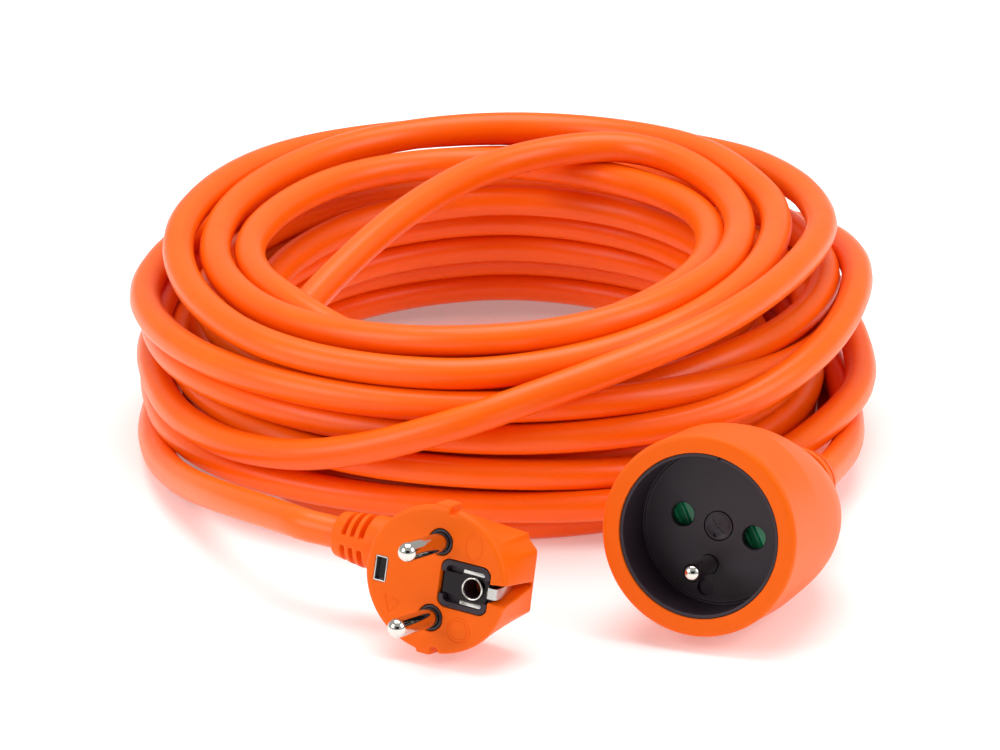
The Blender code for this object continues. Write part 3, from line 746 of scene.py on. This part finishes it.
def makePlugRelief():
    p = plugSettings
    shape = makeReliefShape(p["reliefStart"], p["reliefEnd"], p["neckRadius"], p["reliefThin"],
                            p["reliefSlots"], p["slotHalf"], math.radians(12), p["cordBore"])
    sideways = Matrix.Translation((0, 0, -p["cordDepth"])) @ Matrix.Rotation(math.radians(-90), 4, "Y")
    return plugPiece("plug-strain-relief", placed(shape, sideways), mouldedPvc, "plug_strain_relief",
                     sharp=50)


def pinShape(length, root, diameter):
    radius = diameter / 2
    profile = [(0, -root), (radius, -root), (radius, 0.0), (radius, length - radius)]
    for step in range(1, 11):
        angle = math.radians(9 * step)
        reach = radius * math.cos(angle) if step < 10 else 0
        profile.append((reach, length - radius + radius * math.sin(angle)))
    return turned(profile, 48)


def makePlugPins():
    p = plugSettings
    pins = []
    for name, side in (("line", 1), ("neutral", -1)):
        shape = pinShape(p["pinLength"], p["pinRoot"], p["pinDiameter"])
        pins.append(plugPiece("plug-pin-" + name, shape, nickelPlate, "plug_pin_" + name,
                              (0, side * p["pinPitch"] / 2, 0)))
    return pins


def makePlugBridge():
    # the black insert in the window, and a black collar round the foot of each pin
    p = plugSettings
    middle, width, height, corner = p["window"]
    outer = roundedOutline(width, height, corner, centre=(middle, 0))
    bridge = plugPiece("plug-inner-bridge", outlineBlock(outer, -6.6, -0.15, 0.25), blackPolyamide,
                       "plug_inner_bridge")
    inner = roundedOutline(width - 2.6, height - 2.6, corner - 0.9, centre=(middle, 0))
    channel = roundedOutline(width + 4.0, 5.8, 0.4, centre=(middle, 0))
    bore = placed(turned([(0, -8.0), (2.95, -8.0), (2.95, 2.0), (0, 2.0)], 48),
                  Matrix.Translation((p["earthOffset"], 0, 0)))
    carve(bridge, [outlineBlock(inner, -2.4, 2.0), outlineBlock(channel, -2.0, 2.0), bore])
    crease(bridge.data, 40)
    collars = []
    for name, side in (("line", 1), ("neutral", -1)):
        loop = softProfile([(3.2, -3.0, 0), (3.2, -0.1, 0.35), (2.5, -0.1, 0.15), (2.5, -3.0, 0)])
        collars.append(plugPiece("plug-collar-" + name, turned(loop, 48), blackPolyamide, "plug_inner_bridge",
                                 (0, side * p["pinPitch"] / 2, 0)))
    return [bridge] + collars


def makeEarthParts():
    # a strap across the window, widened round the sleeve with its two edges turned up, and a side spring
    p = plugSettings
    outline = [(1.4, 2.7), (1.4, -2.7), (6.4, -2.7), (7.2, -3.9), (13.1, -3.9), (13.6, -2.7), (14.2, -1.5),
               (14.2, 1.5), (13.6, 2.7), (13.1, 3.9), (7.2, 3.9), (6.4, 2.7)]
    strap = plugPiece("plug-earth-strap", outlineBlock(outline, -1.9, -1.3), darkSteel,
                      "plug_earth_bracket")
    bore = placed(turned([(0, -8.0), (2.9, -8.0), (2.9, 2.0), (0, 2.0)], 48),
                  Matrix.Translation((p["earthOffset"], 0, 0)))
    carve(strap, [bore])
    crease(strap.data, 40)
    flanges = [outlineBlock(roundedOutline(5.9, 0.9, 0.2, centre=(10.1, side * 3.95)), -1.9, -0.35, 0.15)
               for side in (-1, 1)]
    flange = plugPiece("plug-earth-strap-edges", joined(*flanges), springSteel,
                       "plug_earth_bracket")
    line = [(13.7, -1.3), (14.5, -0.55), (15.9, -0.55), (16.3, -0.8), (16.4, -1.4), (16.1, -5.0),
            (15.3, -9.0), (14.6, -12.0), (14.2, -13.4)]
    spring = plugPiece("plug-earth-spring", stripShape(line, 1.35, 0.6), springSteel,
                       "plug_earth_bracket")
    clipX, clipY, clipWidth, clipHeight = p["clipWindow"]
    rim = roundedOutline(clipWidth - 0.1, clipHeight - 0.1, 0.3, centre=(clipX, clipY))
    hole = roundedOutline(clipWidth - 0.75, clipHeight - 0.75, 0.15, centre=(clipX, clipY))
    clip = plugPiece("plug-clip-rim", outlineBlock(rim, -3.0, -0.1, 0.05), springSteel,
                     "plug_earth_bracket")
    carve(clip, [outlineBlock(hole, -4.0, 2.0)])
    blade = plugPiece("plug-clip-blade", outlineBlock(hole, -3.4, -1.3), darkSteel,
                      "plug_earth_bracket")
    loop = softProfile([(2.4, -12.0, 0), (2.8, -12.0, 0), (2.85, -0.35, 0.25), (2.4, -0.35, 0.25)])
    shift = (p["earthOffset"], 0, 0)
    sleeve = plugPiece("plug-earth-sleeve", turned(loop, 56), nickelPlate, "plug_earth_sleeve",
                       shift)
    liner = turned([(0, -12.0), (2.38, -12.0), (2.38, -0.9), (2.3, -0.9), (2.3, -11.0), (0, -11.0)], 40)
    sleeveFloor = plugPiece("plug-earth-sleeve-liner", liner, blackPolyamide, "plug_earth_sleeve",
                            shift)
    return [strap, flange, spring, clip, blade, sleeve, sleeveFloor]


def stripShape(line, halfWidth, thick):
    # a flat strip of one width that follows a line of (x, z) points
    rings = []
    for index, (x, z) in enumerate(line):
        before, after = line[max(index - 1, 0)], line[min(index + 1, len(line) - 1)]
        along = Vector((after[0] - before[0], after[1] - before[1])).normalized()
        across = Vector((-along.y, along.x)) * thick / 2
        rings.append([(x + across.x, -halfWidth, z + across.y), (x + across.x, halfWidth, z + across.y),
                      (x - across.x, halfWidth, z - across.y), (x - across.x, -halfWidth, z - across.y)])
    return ringSurface(rings)


def ridge(points, radius, height):
    # a low raised line round a closed outline on the face
    rings = []
    count = len(points)
    for index in range(count):
        before, after = Vector(points[index - 1]), Vector(points[(index + 1) % count])
        along = (after - before).normalized()
        side = Vector((-along.y, along.x))
        here = Vector(points[index])
        ring = []
        for step in range(6):
            angle = 2 * math.pi * step / 6
            out = side * radius * math.cos(angle)
            ring.append((here.x + out.x, here.y + out.y, height + radius * math.sin(angle)))
        rings.append(ring)
    bm = ringSurface(rings + [rings[0]], False, False)
    bmesh.ops.remove_doubles(bm, verts=bm.verts, dist=0.001)
    return bm


def makeFaceRidges():
    # plain raised outlines where such a face carries its moulded marks
    p = plugSettings
    lines = []
    for x, y, halfWidth, halfHeight, count in p["roundMarks"]:
        angles = np.linspace(0, 2 * math.pi, count)[:-1]
        lines.append([(x + halfWidth * math.cos(a), y + halfHeight * math.sin(a)) for a in angles])
    corners = p["triangleMark"]
    triangle = []
    for first, second in zip(corners, corners[1:] + corners[:1]):
        for step in range(6):
            triangle.append((first[0] + (second[0] - first[0]) * step / 6,
                             first[1] + (second[1] - first[1]) * step / 6))
    shape = joined(*[ridge(line, p["markRadius"], p["markHeight"]) for line in lines + [triangle]])
    return plugPiece("plug-face-ridges", shape, mouldedPvc, "plug_body")


plugBody = makePlugBody()
print("plug body made")
plugPieces = [plugBody, makePlugRelief()] + makePlugPins() + makePlugBridge() + makeEarthParts()
plugPieces.append(makeFaceRidges())
print("plug made")


# the socket
socketSettings = {
    "rimOuter": 25.0, "rimInner": 20.55,
    "cupInner": 19.5, "cupOuter": 20.4, "cupDepth": 15.0, "floorThick": 2.0,
    "holeRadius": 2.9, "pitch": 19.0, "earthOffset": 10.0,
    "pinDiameter": 4.8, "pinLength": 14.0, "pinRoot": 21.5,
    "end": 66.0, "bootEnd": 86.0, "bootThick": 9.9, "bootThin": 5.5,
    "bootSlots": (69.8, 74.4, 79.0), "slotHalf": 0.75, "cordBore": 4.25,
    "shutterThick": 2.2, "shutterPad": 3.7, "shutterHub": 4.0,
}


def makeSocketBody():
    p = socketSettings
    outer = [(p["rimInner"], 0.0, 0.35), (p["rimOuter"], 0.0, 1.5), (24.9, -4.5, 2.0), (24.7, -18.0, 6.0),
             (24.6, -28.0, 6.0), (24.1, -36.5, 5.0), (21.9, -44.5, 4.0), (19.2, -50.0, 3.0),
             (15.5, -56.5, 3.0), (11.5, -62.0, 2.0), (9.7, -65.9, 0.8)]
    inner = [(4.4, -65.9), (4.4, -49.0), (14.0, -49.0), (14.0, -37.5), (p["rimInner"], -37.5)]

    def flattened(radius, z, angle):
        # the back of the body is a little lower than it is wide
        if z > -20.0 or (radius, z) in inner:
            return 0.0
        along = min(1.0, (-z - 20.0) / 26.0) * min(1.0, (65.9 + z) / 8.0)
        return -radius * 0.19 * along * math.sin(angle) ** 2

    shape = turned(softProfile(outer, 7) + inner, 112, flattened)
    return socketPiece("socket-body", shape, mouldedPvc, "socket_body")


def makeSocketBoot():
    p = socketSettings
    shape = makeReliefShape(p["end"] + 0.2, p["bootEnd"], p["bootThick"], p["bootThin"],
                            p["bootSlots"], p["slotHalf"], math.radians(15), p["cordBore"])
    flipped = Matrix.Rotation(math.radians(180), 4, "X")
    return socketPiece("socket-strain-relief", placed(shape, flipped), mouldedPvc, "socket_strain_relief",
                       sharp=50)


def makeSocketCup():
    p = socketSettings
    floor = -p["cupDepth"]
    back = floor - p["floorThick"]
    # a thin raised bead runs round the floor where it meets the wall
    loop = [(1.8, back, 0), (1.8, floor - 1.1, 0), (3.75, floor - 1.1, 0), (3.75, floor, 0.15),
            (p["cupInner"] - 0.75, floor, 0.1), (p["cupInner"] - 0.62, floor + 0.16, 0.05),
            (p["cupInner"] - 0.45, floor, 0.1), (p["cupInner"], floor, 0.2), (p["cupInner"], -0.5, 0.35),
            (p["cupOuter"], -0.5, 0.2), (p["cupOuter"], back, 0)]
    cup = socketPiece("socket-cup", turned(softProfile(loop), 112), blackPolyamide, "socket_cup")
    cutters = []
    for side in (-1, 1):
        radius = p["holeRadius"]
        hole = softProfile([(0, back - 1, 0), (radius, back - 1, 0), (radius, floor - 0.25, 0.1),
                            (radius + 0.35, floor + 0.1, 0), (radius + 0.35, floor + 1, 0),
                            (0, floor + 1, 0)])
        cutters.append(placed(turned(hole, 56), Matrix.Translation((side * p["pitch"] / 2, 0, 0))))
    pinHole = turned([(0, back - 1), (2.55, back - 1), (2.55, floor + 1), (0, floor + 1)], 48)
    cutters.append(placed(pinHole, Matrix.Translation((0, -p["earthOffset"], 0))))
    # a shallow round hollow below the earth pin, and a small notch at the top of the rim
    hollow = turned([(0, floor - 0.9), (1.9, floor - 0.9), (2.25, floor + 0.5), (0, floor + 0.5)], 48)
    cutters.append(placed(hollow, Matrix.Translation((0.6, -15.7, 0))))
    notch = outlineBlock(roundedOutline(1.1, 1.4, 0.3), -3.2, 1.0)
    cutters.append(placed(notch, Matrix.Translation((0.4, 19.8, 0))))
    carve(cup, cutters)
    crease(cup.data, 35)
    return cup


def makeCentreMark():
    # the rivet's head: a shallow dish with a point in the middle and one blind pit at its lower edge
    p = socketSettings
    floor = -p["cupDepth"]
    profile = [(0, floor - 0.8), (3.5, floor - 0.8), (3.5, floor + 0.02), (3.3, floor + 0.1),
               (3.0, floor + 0.02), (2.7, floor - 0.16), (0.6, floor - 0.18), (0.3, floor + 0.05),
               (0, floor + 0.1)]
    head = socketPiece("socket-centre-rivet", turned(profile, 64), blackPolyamide, "socket_centre_rivet")
    pit = turned([(0, floor - 0.7), (0.6, floor - 0.7), (0.7, floor + 1), (0, floor + 1)], 24)
    arms = []
    for angle in (35, 145):
        arm = outlineBlock(roundedOutline(4.6, 0.5, 0.2), floor - 0.3, floor + 1)
        arms.append(placed(arm, Matrix.Rotation(math.radians(angle), 4, "Z")))
    carve(head, [placed(pit, Matrix.Translation((-0.3, -2.3, 0)))] + arms)
    return head


def makeShutter():
    # two round pads on one hub; a pin's tip slides down the ramp cut across each pad and turns the pair
    p = socketSettings
    arm = p["pitch"] / 2
    top = -p["cupDepth"] - p["floorThick"] - 0.35
    outline = []
    for side in (0, 1):
        turn = math.pi * side
        for step in range(25):
            angle = math.radians(-110 + 220 * step / 24)
            x = arm + p["shutterPad"] * math.cos(angle)
            y = p["shutterPad"] * math.sin(angle)
            outline.append((x * math.cos(turn) - y * math.sin(turn), x * math.sin(turn) + y * math.cos(turn)))
        for step in range(7):
            angle = math.radians(52 + 76 * step / 6) + turn
            outline.append((p["shutterHub"] * math.cos(angle), p["shutterHub"] * math.sin(angle)))
    item = socketPiece("socket-shutter", outlineBlock(outline, top - p["shutterThick"], top), greenPlastic,
                       "socket_shutter", bodyName=shutter)
    cutters = [turned([(0, top - 4), (1.8, top - 4), (1.8, top + 1), (0, top + 1)], 40)]
    for side in (-1, 1):
        rod = placed(turned([(0, -6.0), (1.25, -6.0), (1.25, 6.0), (0, 6.0)], 32),
                     Matrix.Rotation(math.radians(90), 4, "X"))
        lean = Matrix.Rotation(math.radians(40), 4, "Z")
        cutters.append(placed(rod, Matrix.Translation((side * arm - 1.15, 0, top - 0.2)) @ lean))
    carve(item, cutters)
    soften(item, 0.14, 5, 0.5)
    return item


def makeEarthPin():
    p = socketSettings
    shape = pinShape(p["pinLength"], p["pinRoot"], p["pinDiameter"])
    return socketPiece("socket-earth-pin", shape, nickelPlate, "socket_earth_pin",
                       (0, -p["earthOffset"], -p["cupDepth"]))


makeSocketBody()
makeSocketBoot()
makeSocketCup()
makeCentreMark()
makeShutter()
makeEarthPin()
print("socket made")

# what the housings hide keeps its plain shape, in its own materials
hiddenFinishes = {"socket_carrier": blackPolyamide, "socket_shutter_spring": springSteel,
                  "socket_contact_line": brassStrip, "socket_contact_neutral": brassStrip}
for fitting in ("plug", "socket"):
    for wire, insulation in (("line", brownCore), ("neutral", blueCore), ("earth", stripedCore)):
        hiddenFinishes[fitting + "_crimp_" + wire] = brassStrip
        hiddenFinishes[fitting + "_core_" + wire] = insulation
for nodeName, material in hiddenFinishes.items():
    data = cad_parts[nodeName].data
    data.materials.clear()
    data.materials.append(material)
print("hidden parts finished")

# floor and light
stageSettings = {
    "floor": "F6F6F6", "floorGlow": 0.24, "floorHalf": 6.0,
    "world": "FFFFFF", "worldPower": 0.48,
    "card": "141414", "cardPlace": (0.0, -3.6, 1.5), "cardLean": 70,
    "panelPower": 9.0,
    # name, place, width and share of the power
    "panels": [("left panel", (-1.3, -0.7, 0.9), 0.9, 1.0), ("right panel", (1.3, -0.5, 0.9), 0.9, 1.0),
               ("top panel", (0.0, 0.25, 1.5), 1.2, 1.8)],
    "panelAim": (0.0, 0.0, 0.03),
}


def stagePiece(name, bm, materialName, colour):
    material, _, shader, _ = newMaterial(materialName, {"Roughness": 0.9})
    shader.inputs["Base Color"].default_value = linearColour(colour)
    mesh = bpy.data.meshes.new(name)
    bm.to_mesh(mesh)
    bm.free()
    mesh.materials.append(material)
    item = bpy.data.objects.new(name, mesh)
    bpy.context.scene.collection.objects.link(item)
    return item, shader


def makeStage():
    p = stageSettings
    bm = bmesh.new()
    bmesh.ops.create_grid(bm, x_segments=1, y_segments=1, size=p["floorHalf"])
    _, shader = stagePiece("floor", bm, "back-lit acrylic table, matt white", p["floor"])
    # its own faint glow keeps the shadows pale
    shader.inputs["Emission Color"].default_value = linearColour(p["floor"])
    shader.inputs["Emission Strength"].default_value = p["floorGlow"]
    bm = outlineBlock([(-1.6, -1.0), (1.6, -1.0), (1.6, 1.0), (-1.6, 1.0)], 0.0, 0.01)
    card, _ = stagePiece("dark card", bm, "card, matt black", p["card"])
    card.location = p["cardPlace"]
    card.rotation_euler = (math.radians(p["cardLean"]), 0, 0)
    card.visible_camera = False     # it only darkens what the bright metal mirrors
    world = bpy.data.worlds.new("studio")
    world.use_nodes = True
    background = world.node_tree.nodes["Background"]
    background.inputs["Color"].default_value = linearColour(p["world"])
    background.inputs["Strength"].default_value = p["worldPower"]
    bpy.context.scene.world = world
    for name, place, size, share in p["panels"]:
        data = bpy.data.lights.new(name, "AREA")
        data.size = size
        data.energy = p["panelPower"] * share
        item = bpy.data.objects.new(name, data)
        item.location = place
        item.rotation_euler = (Vector(p["panelAim"]) - Vector(place)).to_track_quat("-Z", "Y").to_euler()
        item.visible_camera = False
        bpy.context.scene.collection.objects.link(item)
    bpy.context.scene.view_settings.view_transform = "Standard"


makeStage()
print("stage set")
